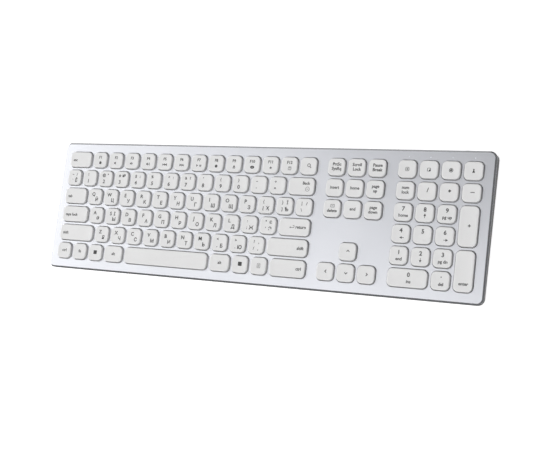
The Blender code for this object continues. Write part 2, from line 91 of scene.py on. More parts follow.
# Keycaps
KEY_GAP = 3.0 * MM  # between two neighbouring keycaps
CAP_CORNER = 4.2 * MM
CAP_TAPER = 0.12 * MM
CAP_FILLET = 0.65 * MM
CAP_WALL = 1.7 * MM
CAP_ROOF = 1.2 * MM  # thickness over the pocket
DISH_DEPTH = 0.16 * MM
DISH_REACH = 4.6 * MM  # from the fillet to the flat middle
CORNER_STEPS = 9
FILLET_STEPS = 5
DISH_STEPS = 6
LEAST_CORNER = 0.05 * MM
CAP_SMOOTH_ANGLE = 40
HOMING_CAPS = ("cap_f", "cap_j", "cap_keypad_5")
RIDGE_LENGTH = 4.2 * MM
RIDGE_WIDTH = 0.6 * MM
RIDGE_CORNER = RIDGE_WIDTH / 2.1
RIDGE_SETBACK = 4.8 * MM  # from the middle of the cap
RIDGE_LEVELS = ((0, -0.1 * MM), (0, 0.07 * MM), (0.1 * MM, 0.15 * MM))  # inset, height

# Case
PLATE_CORNER = 6.0 * MM
CHAMFER_WIDTH = 1.5 * MM
CHAMFER_DEPTH = 0.9 * MM
HOLE_CLEARANCE = 0.6 * MM
HOLE_BREAK = 0.12 * MM  # broken edge round each hole
LENS_BREAK = 0.04 * MM
COVER_FILLET = 0.9 * MM
COVER_WALL = 1.6 * MM
CASE_STEPS = 16
SMALL_STEPS = 4  # to each corner of a small outline
OVAL_STEPS = 8
SMOOTH_ANGLE = 30
OVERSHOOT = 2.0 * MM  # how far a cutter runs past what it cuts

# Legends
INK_ABOVE = 0.03 * MM
INK_BELOW = 0.03 * MM
LETTER = 4.8 * MM
DIGIT = 5.0 * MM
PAD_DIGIT = 5.0 * MM
MARK = 3.7 * MM
LABEL = 3.7 * MM
TITLE = 3.8 * MM
WORD = 3.7 * MM
WIDE_WORD = 3.9 * MM
CAP_HEIGHT = 0.73  # of the font's size
BOLDER = 0.028  # growth of each stroke's sides, of the font's size

NOISE_LOW, NOISE_HIGH = 0.3, 0.7  # nearly all of the noise lies between these
PATCH_DETAIL = 4.0
GRAIN_DETAIL = 3.0

# Places of the legends, from the middle of a cap
UPPER_LEFT = (-2.1 * MM, 3.3 * MM)
LOWER_LEFT = (-2.1 * MM, -2.7 * MM)
UPPER_RIGHT = (2.6 * MM, 3.1 * MM)
LOWER_RIGHT = (2.4 * MM, -2.8 * MM)
FIRST_LETTER = (-1.8 * MM, 2.5 * MM)
THIRD_LETTER = (2.6 * MM, 2.5 * MM)
NUMBER_SYMBOL = (-2.0 * MM, 3.5 * MM)
NUMBER_DIGIT = (-1.5 * MM, -2.8 * MM)
NUMBER_EXTRA = (2.8 * MM, 3.5 * MM)
FUNCTION_LABEL = (0.1 * MM, 2.9 * MM)
FUNCTION_ICON = (0.5 * MM, -2.6 * MM)
LAST_FUNCTION_ICON = (0.6 * MM, -2.6 * MM)
MIDDLE_WORD = (0.4 * MM, 0.4 * MM)
UPPER_WORD = (0.3 * MM, 2.6 * MM)
LOWER_WORD = (0.3 * MM, -1.4 * MM)
DELETE_ICON = (0.4 * MM, 2.3 * MM)
DELETE_WORD = (0.3 * MM, -1.8 * MM)
PAD_POINT = (0.7 * MM, 3.0 * MM)
PAD_POINT_WORD = (0.8 * MM, -2.8 * MM)
PAD_SLASH = (0.8 * MM, 1.2 * MM)
PAD_DIGIT_X, PAD_DIGIT_Y = 0.3, 3.0 * MM  # x in millimetres
PAD_WORD_SHIFT, PAD_WORD_Y = 0.4, -2.7 * MM
LEFT_WORD_Y = -0.4 * MM
ENTER_X = 0.4 * MM

# From a wide key's side, or its front, to its legend
EDGE = 3.6 * MM
BACK_WORD_SIDE, BACK_WORD_Y = 4.7 * MM, 3.0 * MM
ERASE_SIDE, ERASE_Y = 6.5 * MM, -2.4 * MM
HOOK_SIDE, HOOK_Y = 17.2 * MM, 0.2 * MM
ENTER_FRONT = 6.8 * MM


# ---------------------------------------------------------------- meshes


def rounded(width, depth, radius, steps, x=0.0, y=0.0):
    """Anticlockwise outline of a rectangle with round corners."""
    points = []
    for corner, (side, end) in enumerate(((1, 1), (-1, 1), (-1, -1), (1, -1))):
        for step in range(steps + 1):
            angle = math.radians(90) * (corner + step / steps)
            points.append(
                (
                    x + side * (width / 2 - radius) + radius * math.cos(angle),
                    y + end * (depth / 2 - radius) + radius * math.sin(angle),
                )
            )
    return points


def disc(x, y, radius, sides=24):
    turns = [math.tau * side / sides for side in range(sides)]
    return [(x + radius * math.cos(turn), y + radius * math.sin(turn)) for turn in turns]


def raised(outline, height):
    return [(x, y, height) for x, y in outline]


def loft(shape, rings):
    """A closed skin over rings that have the same number of points."""
    loops = [[shape.verts.new(point) for point in ring] for ring in rings]
    for low, high in zip(loops, loops[1:]):
        for index, start in enumerate(low):
            after = (index + 1) % len(low)
            shape.faces.new((start, low[after], high[after], high[index]))
    shape.faces.new(list(reversed(loops[0])))
    shape.faces.new(loops[-1])


def finished(name, shape, material, place=Matrix.Identity(4), smooth_angle=SMOOTH_ANGLE):
    """The bmesh as a new object, smooth over edges below the angle."""
    bmesh.ops.recalc_face_normals(shape, faces=shape.faces)
    mesh = bpy.data.meshes.new(name)
    shape.to_mesh(mesh)
    shape.free()
    mesh.transform(place)
    mesh.materials.append(material)
    mesh.shade_smooth()
    mesh.set_sharp_from_angle(angle=math.radians(smooth_angle))
    made = bpy.data.objects.new(name, mesh)
    bpy.context.scene.collection.objects.link(made)
    return made


def cut(piece, cutter):
    """Cuts one object out of another for good and drops the cutter."""
    step = piece.modifiers.new("cut", "BOOLEAN")
    step.solver = "EXACT"
    step.object = cutter
    bpy.context.view_layer.update()
    evaluated = piece.evaluated_get(bpy.context.evaluated_depsgraph_get())
    mesh = bpy.data.meshes.new_from_object(evaluated)
    piece.modifiers.remove(step)
    piece.data = mesh
    mesh.shade_smooth()
    mesh.set_sharp_from_angle(angle=math.radians(SMOOTH_ANGLE))
    bpy.data.objects.remove(cutter)


def drawn(outlines, half_thickness):
    """Flat outlines as a thin solid. An outline inside another is a hole in it."""
    curve = bpy.data.curves.new("drawn", "CURVE")
    curve.dimensions = "2D"
    curve.fill_mode = "BOTH"
    curve.extrude = half_thickness
    for points in outlines:
        spline = curve.splines.new("POLY")
        spline.points.add(len(points) - 1)
        spline.use_cyclic_u = True
        for point, (x, y) in zip(spline.points, points):
            point.co = (x, y, 0, 1)
    return mesh_of(curve)


def written(text, size, half_thickness, align):
    curve = bpy.data.curves.new("written", "FONT")
    curve.body = text
    curve.size = size
    curve.align_x = align
    curve.extrude = half_thickness
    curve.offset = BOLDER * size
    curve.resolution_u = 3
    return mesh_of(curve)


def mesh_of(curve):
    maker = bpy.data.objects.new("maker", curve)
    bpy.context.scene.collection.objects.link(maker)
    bpy.context.view_layer.update()
    evaluated = maker.evaluated_get(bpy.context.evaluated_depsgraph_get())
    mesh = bpy.data.meshes.new_from_object(evaluated)
    bpy.data.objects.remove(maker)
    return mesh


# ---------------------------------------------------------------- materials


class Nodes:
    """A material's node tree, with short calls for the nodes that the finishes share."""

    def __init__(self, name):
        self.material = bpy.data.materials.new(name)
        self.material.use_nodes = True
        self.tree = self.material.node_tree
        self.shader = self.tree.nodes["Principled BSDF"]
        self.place = self.tree.nodes.new("ShaderNodeTexCoord").outputs["Object"]

    def noise(self, size, detail):
        """Noise whose lumps are about the given size in metres."""
        made = self.tree.nodes.new("ShaderNodeTexNoise")
        made.inputs["Scale"].default_value = 1 / size
        made.inputs["Detail"].default_value = detail
        self.tree.links.new(self.place, made.inputs["Vector"])
        return made.outputs["Fac"]

    def between(self, value, low, high):
        made = self.tree.nodes.new("ShaderNodeMapRange")
        made.inputs["From Min"].default_value = NOISE_LOW
        made.inputs["From Max"].default_value = NOISE_HIGH
        made.inputs["To Min"].default_value = low
        made.inputs["To Max"].default_value = high
        self.tree.links.new(value, made.inputs["Value"])
        return made.outputs["Result"]

    def colours(self, value, low, high):
        made = self.tree.nodes.new("ShaderNodeValToRGB")
        made.color_ramp.elements[0].position = NOISE_LOW
        made.color_ramp.elements[0].color = (*low, 1)
        made.color_ramp.elements[1].position = NOISE_HIGH
        made.color_ramp.elements[1].color = (*high, 1)
        self.tree.links.new(value, made.inputs["Fac"])
        return made.outputs["Color"]

    def bump(self, value, height, strength):
        made = self.tree.nodes.new("ShaderNodeBump")
        made.inputs["Strength"].default_value = strength
        made.inputs["Distance"].default_value = height
        self.tree.links.new(value, made.inputs["Height"])
        self.tree.links.new(made.outputs["Normal"], self.shader.inputs["Normal"])

    def link(self, value, socket):
        self.tree.links.new(value, self.shader.inputs[socket])

    def set(self, **values):
        for socket, value in values.items():
            self.shader.inputs[socket.replace("_", " ")].default_value = value


def finish(name, low, high, rough, patch, grain, height, strength=1.0, **constants):
    """A finish: colour and roughness drift over patches, and a grain of fine bumps."""
    nodes = Nodes(name)
    drift = nodes.noise(patch, PATCH_DETAIL)
    nodes.link(nodes.colours(drift, low, high), "Base Color")
    fine = nodes.noise(grain, GRAIN_DETAIL)
    nodes.link(nodes.between(fine, *rough), "Roughness")
    nodes.bump(fine, height, strength)
    nodes.set(**constants)
    return nodes.material


def grey(level, warmth=0.0):
    return (level * (1 + warmth), level, level * (1 - warmth))


FINISHES = {
    "key": finish(
        "satin_key_plastic", grey(0.89, 0.003), grey(0.92, 0.003), (0.42, 0.54), 30 * MM,
        0.25 * MM, 0.004 * MM, 0.5,
    ),
    "ink": finish(
        "legend_ink", grey(0.035), grey(0.05), (0.45, 0.6), 2 * MM, 0.2 * MM, 0.003 * MM, 0.5
    ),
    "pale_ink": finish(
        "pale_legend_ink", grey(0.20), grey(0.25), (0.45, 0.6), 2 * MM, 0.2 * MM, 0.003 * MM, 0.5
    ),
    "plate": finish(
        "blasted_aluminium", (0.65, 0.66, 0.695), (0.68, 0.69, 0.725), (0.34, 0.41), 60 * MM,
        0.12 * MM, 0.006 * MM, 0.5, Metallic=0.92,
    ),
    "cut": finish(
        "cut_aluminium", (0.78, 0.79, 0.81), (0.82, 0.83, 0.85), (0.14, 0.2), 20 * MM,
        0.1 * MM, 0.002 * MM, 0.3, Metallic=1.0,
    ),
    # The cover's dark grey is partly the plastic's own tone and partly painted shade. It is set
    # darker so the side wall stays as dark as a shaded wall, even under the floor's glow.
    "cover": finish(
        "cover_plastic_with_painted_shade", grey(0.12), grey(0.145), (0.65, 0.8), 40 * MM,
        0.35 * MM, 0.02 * MM, 0.6, Specular_IOR_Level=0.25,
    ),
    "rubber": finish(
        "foot_rubber", grey(0.035), grey(0.055), (0.7, 0.9), 5 * MM, 0.3 * MM, 0.02 * MM
    ),
    "knob": finish(
        "knob_plastic", grey(0.06), grey(0.085), (0.45, 0.6), 3 * MM, 0.25 * MM, 0.01 * MM
    ),
    "lens": finish(
        "lens_acrylic", (0.84, 0.87, 0.92), (0.90, 0.92, 0.96), (0.12, 0.25), 1 * MM,
        0.2 * MM, 0.002 * MM,
    ),
    "socket": finish(
        "socket_steel", (0.50, 0.51, 0.53), (0.60, 0.61, 0.63), (0.22, 0.38), 3 * MM,
        0.3 * MM, 0.004 * MM, Metallic=1.0,
    ),
    "tongue": finish(
        "contact_tongue", grey(0.03), grey(0.05), (0.4, 0.55), 1 * MM, 0.2 * MM, 0.003 * MM
    ),
    "screw": finish(
        "screw_steel", (0.36, 0.37, 0.39), (0.48, 0.49, 0.51), (0.25, 0.4), 1 * MM,
        0.15 * MM, 0.004 * MM, Metallic=1.0,
    ),
    "support": finish(
        "rolled_steel", (0.50, 0.51, 0.53), (0.60, 0.61, 0.62), (0.3, 0.5), 12 * MM,
        0.4 * MM, 0.006 * MM, Metallic=1.0,
    ),
    "silicone": finish(
        "dome_silicone", (0.74, 0.74, 0.70), (0.80, 0.80, 0.77), (0.5, 0.65), 8 * MM,
        0.4 * MM, 0.01 * MM,
    ),
    "film": finish(
        "printed_film", (0.60, 0.66, 0.64), (0.74, 0.78, 0.76), (0.2, 0.35), 6 * MM,
        0.5 * MM, 0.004 * MM,
    ),
    "board": finish(
        "board_laminate", (0.015, 0.11, 0.05), (0.03, 0.17, 0.08), (0.35, 0.5), 1.5 * MM,
        0.3 * MM, 0.01 * MM,
    ),
    "battery": finish(
        "battery_pouch", (0.55, 0.56, 0.58), (0.66, 0.67, 0.69), (0.3, 0.5), 6 * MM,
        0.8 * MM, 0.05 * MM, Metallic=0.7,
    ),
}


# ---------------------------------------------------------------- pieces


def add(piece, node, replaced=True):
    """The piece rides with a CAD node's body, and stands for the node by hiding it when replaced.
    """
    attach(piece, frame["nodes"][node]["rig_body"])
    if replaced:
        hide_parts(node)


def dish_drop(inset):
    """How far a keycap's top lies below its rim, at a distance inside its edge."""
    share = min(max((inset - CAP_FILLET) / DISH_REACH, 0), 1)
    return DISH_DEPTH * share * share * (3 - 2 * share)


class Key:
    """A keycap's place in the deck's frame."""

    def __init__(self, low, high):
        self.x = (low.x + high.x) / 2
        self.y = (low.y + high.y) / 2
        self.width = high.x - low.x
        self.depth = high.y - low.y
        self.bottom = low.z
        self.top = high.z

    def ring(self, inset, height):
        radius = max(CAP_CORNER - inset, LEAST_CORNER)
        outline = rounded(
            self.width - 2 * inset, self.depth - 2 * inset, radius, CORNER_STEPS, self.x, self.y
        )
        return raised(outline, height)

    def inset(self, x, y):
        """Distance from a point on the cap to the cap's edge."""
        over_x = abs(x - self.x) - (self.width / 2 - CAP_CORNER)
        over_y = abs(y - self.y) - (self.depth / 2 - CAP_CORNER)
        outside = math.hypot(max(over_x, 0), max(over_y, 0))
        return CAP_CORNER - outside - min(max(over_x, over_y), 0)

    def surface(self, x, y):
        return self.top - dish_drop(self.inset(x, y))

    def cap(self, name):
        """Hollow cap with upright sides, a rounded rim and a shallow dish."""
        shoulder = self.top - CAP_FILLET
        rings = [
            self.ring(CAP_WALL, self.top - CAP_ROOF),
            self.ring(CAP_WALL, self.bottom),
            self.ring(0, self.bottom),
        ]
        for step in range(FILLET_STEPS + 1):
            angle = math.radians(90) * step / FILLET_STEPS
            inset = CAP_TAPER + (CAP_FILLET - CAP_TAPER) * (1 - math.cos(angle))
            rings.append(self.ring(inset, shoulder + CAP_FILLET * math.sin(angle)))
        for step in range(1, DISH_STEPS + 1):
            inset = CAP_FILLET + DISH_REACH * step / DISH_STEPS
            rings.append(self.ring(inset, self.top - dish_drop(inset)))
        shape = bmesh.new()
        loft(shape, rings)
        if name in HOMING_CAPS:
            self.add_ridge(shape)
        return finished(name, shape, FINISHES["key"], DECK, CAP_SMOOTH_ANGLE)

    def add_ridge(self, shape):
        """The small bar near a homing key's front edge, which a finger can feel."""
        y = self.y - RIDGE_SETBACK
        base = self.surface(self.x, y)
        rings = []
        for inset, height in RIDGE_LEVELS:
            length, width = RIDGE_LENGTH - 2 * inset, RIDGE_WIDTH - 2 * inset
            outline = rounded(length, width, RIDGE_CORNER - inset, SMALL_STEPS, self.x, y)
            rings.append(raised(outline, base + height))
        loft(shape, rings)


class Print:
    """The legends of one body, as thin solids that follow the caps."""

    def __init__(self):
        self.shapes = {"ink": bmesh.new(), "pale_ink": bmesh.new()}

    def lay(self, key, mesh, x, y, ink):
        """Moves a flat mesh to a point on the key, in metres from its middle."""
        mesh.transform(Matrix.Translation((key.x + x, key.y + y, 0)))
        middle = (INK_ABOVE - INK_BELOW) / 2
        for vert in mesh.vertices:
            vert.co.z += middle + key.surface(vert.co.x, vert.co.y)
        self.shapes[ink].from_mesh(mesh)
        bpy.data.meshes.remove(mesh)

    def text(self, key, words, x, y, size, align="CENTER"):
        if not words:
            return
        mesh = written(words, size, (INK_ABOVE + INK_BELOW) / 2, align)
        self.lay(key, mesh, x, y - CAP_HEIGHT * size / 2, "ink")

    def icon(self, key, outlines, x, y, ink="ink"):
        self.lay(key, drawn(outlines, (INK_ABOVE + INK_BELOW) / 2), x, y, ink)

    def finish(self, node):
        for ink, shape in self.shapes.items():
            if shape.faces:
                made = finished(f"{ink}_{node}", shape, FINISHES[ink], DECK)
                add(made, node, replaced=False)
            else:
                shape.free()


# ---------------------------------------------------------------- icons, drawn in millimetres

BOLD_ICON = 1.2 * MM  # the unit of the function row's icons


def scaled(points, size, turn):
    """Points scaled, and turned anticlockwise by quarter turns."""
    c, s = round(math.cos(turn * math.pi / 2)), round(math.sin(turn * math.pi / 2))
    return [((x * c - y * s) * size, (x * s + y * c) * size) for x, y in points]


def bar(x, y, width, height):
    return [
        (x - width / 2, y - height / 2),
        (x + width / 2, y - height / 2),
        (x + width / 2, y + height / 2),
        (x - width / 2, y + height / 2),
    ]


def arc(x, y, radius, half_angle, width, steps=8):
    """A stroke along part of a circle, about the +X direction."""
    angles = [math.radians(half_angle) * (2 * step / steps - 1) for step in range(steps + 1)]
    outer = [(x + radius * math.cos(a), y + radius * math.sin(a)) for a in angles]
    near = radius - width
    inner = [(x + near * math.cos(a), y + near * math.sin(a)) for a in reversed(angles)]
    return outer + inner


def ring(x, y, radius, width):
    return [disc(x, y, radius), disc(x, y, radius - width)]


def triangle(x, y, size, turn=0.0):
    """A filled triangle that points to +Y, or turned by quarter turns."""
    upward = [(-0.6, -0.5), (0.6, -0.5), (0, 0.5)]
    return [(x + px, y + py) for px, py in scaled(upward, size, turn)]


def icon(*outlines, turn=0.0, size=MM):
    """Outlines drawn in millimetres, turned by quarter turns, as metres."""
    return [scaled(points, size, turn) for points in outlines]


def speaker(waves):
    body = [(-1.9, -0.5), (-1.2, -0.5), (-0.3, -1.2), (-0.3, 1.2), (-1.2, 0.5), (-1.9, 0.5)]
    arcs = [arc(-0.4, 0, 1.1 + 0.8 * wave, 42, 0.35) for wave in range(waves)]
    return icon(body, *arcs, size=BOLD_ICON)


def box_ring(x, y, width, height, line, radius=0.5):
    return [
        rounded(width, height, radius, 4, x, y),
        rounded(width - 2 * line, height - 2 * line, max(radius - line, 0.1), 4, x, y),
    ]


def chevron(turn):
    points = [(-1.5, -0.5), (0, 1.0), (1.5, -0.5), (1.0, -1.0), (0, 0.0), (-1.0, -1.0)]
    return icon(points, turn=turn)


def arrow(turn):
    head = [(0.2, -0.1), (1.1, -0.1), (0, 2.0), (-1.1, -0.1), (-0.2, -0.1)]
    return icon(head + [(-0.2, -1.9), (0.2, -1.9)], turn=turn)


def star(x, y, radius, tips=5):
    points = []
    for step in range(2 * tips):
        reach = radius if step % 2 == 0 else 0.45 * radius
        angle = math.pi / 2 + math.pi * step / tips
        points.append((x + reach * math.cos(angle), y + reach * math.sin(angle)))
    return points


def eye():
    half = [(math.cos(a), math.sin(a)) for a in [math.pi * step / 10 for step in range(11)]]
    upper = [(2.1 * c, 1.35 * s) for c, s in half]
    lower = [(-2.1 * c, -1.35 * s) for c, s in half[1:-1]]
    return icon(upper + lower, disc(0, 0, 0.45))


RETURN_HOOK = [
    (-2.5, -0.6), (-1.3, -1.4), (-1.3, -0.8), (1.9, -0.8), (2.3, -0.4), (2.3, 0.9), (1.9, 1.3),
    (0.6, 1.3), (0.6, 0.95), (1.9, 0.95), (1.9, -0.4), (-1.3, -0.4), (-1.3, 0.2),
]
HOUSE = [(-1.0, -1.2), (1.0, -1.2), (1.0, 0.1), (1.5, 0.1), (0, 1.4), (-1.5, 0.1), (-1.0, 0.1)]
HANDLE = [(0.95, -0.45), (2.15, -1.65), (1.65, -2.15), (0.45, -0.95)]
FLASK = [
    (-1.2, -1.6), (1.2, -1.6), (0.45, 0.1), (0.45, 1.2), (0.7, 1.2), (0.7, 1.6), (-0.7, 1.6),
    (-0.7, 1.2), (-0.45, 1.2), (-0.45, 0.1),
]
FUNCTION_ICONS = (
    icon(HOUSE, size=BOLD_ICON),
    speaker(0),
    speaker(1),
    speaker(2),
    icon(
        bar(-1.9, 0, 0.4, 1.7), triangle(-0.8, 0, 1.7, 1), triangle(1.0, 0, 1.7, 1), size=BOLD_ICON
    ),
    icon(
        triangle(-1.0, 0, 1.7, -1), triangle(0.8, 0, 1.7, -1), bar(1.9, 0, 0.4, 1.7), size=BOLD_ICON
    ),
    icon(triangle(-1.6, 0, 1.9, -1), bar(1.2, 0, 0.7, 1.8), bar(2.3, 0, 0.7, 1.8)),
    icon(disc(0, 0, 1.4)),
    icon(triangle(0, 0.35, 1.8), bar(0, -1.1, 2.2, 0.5), size=BOLD_ICON),
    eye(),
    icon(star(0, 0, 1.5)),
)
CALCULATOR = icon(*box_ring(0, 0, 3.1, 3.3, 0.4), bar(0, 0.6, 1.6, 0.7), bar(0, -0.7, 1.6, 0.4))
MAGNIFIER = icon(*ring(-0.4, 0.4, 1.6, 0.5), HANDLE)
ERASE = icon(*ring(0, 0, 2.1, 0.4), bar(0, 0, 2.0, 0.5))
HOOK = icon(RETURN_HOOK)
SQUARE = icon(rounded(3.9, 3.7, 0.5, 4))
MENU = icon(*box_ring(0, 0, 3.3, 4.1, 0.4), *[bar(0, 0.9 * row, 1.7, 0.45) for row in (-1, 0, 1)])
MINUS = icon(bar(0, 0, 3.4, 0.6))
PLUS = icon(
    [
        (0.35, 0.35), (0.35, 1.2), (-0.35, 1.2), (-0.35, 0.35), (-1.2, 0.35), (-1.2, -0.35),
        (-0.35, -0.35), (-0.35, -1.2), (0.35, -1.2), (0.35, -0.35), (1.2, -0.35), (1.2, 0.35),
    ]
)
ASTERISK = icon(star(0, 0, 1.6, 6))
POINT = icon(disc(0, 0, 0.5))
CROSSED = icon(*box_ring(0, 0, 3.8, 2.8, 0.45), bar(0, 0, 1.7, 0.5))
SHORTCUT_ICONS = (
    (icon(*box_ring(0, 0, 3.5, 3.5, 0.5, 1.0), bar(0, 0, 1.4, 1.4)), "pale_ink"),
    (icon(*box_ring(0, 0, 3.0, 3.0, 0.4), bar(0.55, -0.55, 1.1, 1.1)), "ink"),
    (icon(*ring(0, 0, 1.8, 0.5), disc(0, 0, 0.95)), "ink"),
    (icon(FLASK), "ink"),
)


# ---------------------------------------------------------------- legends


def left_word(words):
    return lambda ink, key: ink.text(
        key, words, EDGE - key.width / 2, LEFT_WORD_Y, WIDE_WORD, "LEFT"
    )


def right_word(words, y=0.0):
    return lambda ink, key: ink.text(
        key, words, key.width / 2 - EDGE, y * MM, WIDE_WORD, "RIGHT"
    )


def middle_word(words, size=WORD):
    return lambda ink, key: ink.text(key, words, *MIDDLE_WORD, size)


def two_words(upper, lower, size=WORD):
    def draw(ink, key):
        ink.text(key, upper, *UPPER_WORD, size)
        ink.text(key, lower, *LOWER_WORD, size)

    return draw


def middle_icon(outlines, x, y, ink_name="ink"):
    return lambda ink, key: ink.icon(key, outlines, x * MM, y * MM, ink_name)


def corners(upper_left, lower_left, upper_right="", lower_right=""):
    """Up to four marks, one for each corner of the cap."""

    def draw(ink, key):
        ink.text(key, upper_left, *UPPER_LEFT, MARK)
        ink.text(key, lower_left, *LOWER_LEFT, MARK)
        ink.text(key, upper_right, *UPPER_RIGHT, MARK)
        ink.text(key, lower_right, *LOWER_RIGHT, LETTER)

    return draw


def letter_marks(latin, cyrillic, extra):
    def draw(ink, key):
        ink.text(key, latin, *FIRST_LETTER, LETTER)
        ink.text(key, cyrillic, *LOWER_RIGHT, LETTER)
        ink.text(key, extra, *THIRD_LETTER, LETTER)

    return draw


def number_marks(digit, symbol, extra):
    def draw(ink, key):
        ink.text(key, symbol, *NUMBER_SYMBOL, MARK)
        ink.text(key, digit, *NUMBER_DIGIT, DIGIT)
        ink.text(key, extra, *NUMBER_EXTRA, MARK)

    return draw


def function_key(number):
    def draw(ink, key):
        ink.text(key, f"F{number}", *FUNCTION_LABEL, LABEL)
        if number <= len(FUNCTION_ICONS):
            ink.icon(key, FUNCTION_ICONS[number - 1], *FUNCTION_ICON)
        else:
            ink.icon(key, CALCULATOR, *LAST_FUNCTION_ICON, "pale_ink")

    return draw


def back_key(ink, key):
    right = key.width / 2
    ink.text(key, "Back", right - BACK_WORD_SIDE, BACK_WORD_Y, LABEL, "RIGHT")
    ink.icon(key, ERASE, right - ERASE_SIDE, ERASE_Y, "pale_ink")


def return_key(ink, key):
    right_word("return", 0.3)(ink, key)
    ink.icon(key, HOOK, key.width / 2 - HOOK_SIDE, HOOK_Y)


def delete_key(ink, key):
    ink.icon(key, CROSSED, *DELETE_ICON, "pale_ink")
    ink.text(key, "delete", *DELETE_WORD, WORD)


def pad_digit(digit, word, x=PAD_DIGIT_X):
    def draw(ink, key):
        ink.text(key, digit, x * MM, PAD_DIGIT_Y, PAD_DIGIT)
        ink.text(key, word, (x + PAD_WORD_SHIFT) * MM, PAD_WORD_Y, WORD)

    return draw


def pad_arrow(digit, turn, x=0.5, y=-2.4):
    def draw(ink, key):
        ink.text(key, digit, PAD_DIGIT_X * MM, PAD_DIGIT_Y, PAD_DIGIT)
        ink.icon(key, arrow(turn), x * MM, y * MM)

    return draw


def pad_point(ink, key):
    ink.icon(key, POINT, *PAD_POINT)
    ink.text(key, "del", *PAD_POINT_WORD, WORD)


def pad_slash(ink, key):
    ink.text(key, "/", *PAD_SLASH, PAD_DIGIT)


def pad_enter(ink, key):
    ink.text(key, "enter", ENTER_X, ENTER_FRONT - key.depth / 2, WORD)


def blank(ink, key):
    """No legend."""


def letter_keys(latin, cyrillic, extras=()):
    known = dict(extras)
    return [
        (one.lower(), 1, letter_marks(one, other, known.get(one, "")))
        for one, other in zip(latin, cyrillic)
    ]


SYMBOLS = ("!", "@", "#", "$", "%", "^", "&", "*", "(", ")")
EXTRAS = ("", '"', "№", ";", "", ":", "?", "", "", "")
NUMBER_KEYS = [
    (digit, 1, number_marks(digit, symbol, extra))
    for digit, symbol, extra in zip("1234567890", SYMBOLS, EXTRAS)
]

# The keys of each group from left to right: name, width in key units, legend
GROUP_KEYS = {
    "function_row_keys": [
        ("esc", 1.5, left_word("esc")),
        *[(f"f{number}", 1, function_key(number)) for number in range(1, 13)],
        ("search", 1, middle_icon(MAGNIFIER, 0.7, 0.3)),
    ],
    "number_row_keys": [
        ("grave", 1, corners("~", "`", "/", "Ё")),
        *NUMBER_KEYS,
        ("hyphen", 1, corners("–", "-")),
        ("equals", 1, corners("+", "=")),
        ("back", 1.5, back_key),
    ],
    "upper_letter_row_keys": [
        ("tab", 1.5, left_word("tab")),
        *letter_keys("QWERTYUIOP", "ЙЦУКЕНГШЩЗ"),
        ("left_bracket", 1, corners("{", "[", "", "Х")),
        ("right_bracket", 1, corners("}", "]", "Ї", "Ъ")),
        ("backslash", 1, corners("|", "\\", "/")),
    ],
    "home_row_keys": [
        ("caps_lock", 1.75, left_word("caps lock")),
        *letter_keys("ASDFGHJKL", "ФЫВАПРОЛД", (("S", "І"),)),
        ("semicolon", 1, corners(":", ";", "", "Ж")),
        ("quote", 1, corners('"', "'", "Є", "Э")),
        ("return", 1.75, return_key),
    ],
    "lower_letter_row_keys": [
        ("left_shift", 2.25, left_word("shift")),
        *letter_keys("ZXCVBNM", "ЯЧСМИТЬ"),
        ("comma", 1, corners("<", ",", "", "Б")),
        ("period", 1, corners(">", ".", "", "Ю")),
        ("slash", 1, corners("?", "/", ",", ".")),
        ("right_shift", 2.25, right_word("shift")),
    ],
    "left_modifier_keys": [
        ("left_ctrl", 1, middle_word("ctrl", WIDE_WORD)),
        ("fn", 1, middle_word("fn", WIDE_WORD)),
        ("left_system", 1, middle_icon(SQUARE, 0.1, 0.3)),
        ("left_alt", 1.25, middle_word("alt", WIDE_WORD)),
    ],
    "space_bar": [("space", 5, blank)],
    "right_modifier_keys": [
        ("right_alt", 1.25, middle_word("alt", WIDE_WORD)),
        ("right_system", 1, middle_icon(SQUARE, 0.2, 0.5)),
        ("menu", 1, middle_icon(MENU, 0.3, 0.2, "pale_ink")),
        ("right_ctrl", 2, right_word("ctrl", 0.2)),
    ],
}
SINGLE_KEYS = {
    "print_screen_key": two_words("PrtSc", "SysRq", TITLE),
    "scroll_lock_key": two_words("Scroll", "Lock", TITLE),
    "pause_key": two_words("Pause", "Break", TITLE),
    "insert_key": middle_word("insert"),
    "home_key": middle_word("home"),
    "page_up_key": two_words("page", "up"),
    "delete_key": delete_key,
    "end_key": middle_word("end"),
    "page_down_key": two_words("page", "down"),
    "up_arrow_key": middle_icon(chevron(0), 0.6, 0.8),
    "left_arrow_key": middle_icon(chevron(1), 0.7, 0.2),
    "down_arrow_key": middle_icon(chevron(2), 0.8, -0.2),
    "right_arrow_key": middle_icon(chevron(-1), 0.9, 0.2),
    "num_lock_key": two_words("num", "lock"),
    "keypad_divide_key": pad_slash,
    "keypad_multiply_key": middle_icon(ASTERISK, 0.6, 0.9),
    "keypad_minus_key": middle_icon(MINUS, 0.8, 0.4),
    "keypad_7_key": pad_digit("7", "home"),
    "keypad_8_key": pad_arrow("8", 0),
    "keypad_9_key": pad_digit("9", "pg up"),
    "keypad_plus_key": middle_icon(PLUS, 0.8, 0.4),
    "keypad_4_key": pad_arrow("4", 1, 1.4, -3.3),
    "keypad_5_key": pad_digit("5", ""),
    "keypad_6_key": pad_arrow("6", -1, 1.3, -3.3),
    "keypad_1_key": pad_digit("1", "end"),
    "keypad_2_key": pad_arrow("2", 2, 0.5, -2.8),
    "keypad_3_key": pad_digit("3", "pg dn"),
    "keypad_enter_key": pad_enter,
    "keypad_0_key": pad_digit("0", "ins", 1.2),
    "keypad_point_key": pad_point,
}
for number, (outlines, ink_name) in enumerate(SHORTCUT_ICONS, 1):
    SINGLE_KEYS[f"shortcut_{number}_key"] = middle_icon(outlines, 0.1, -0.1, ink_name)


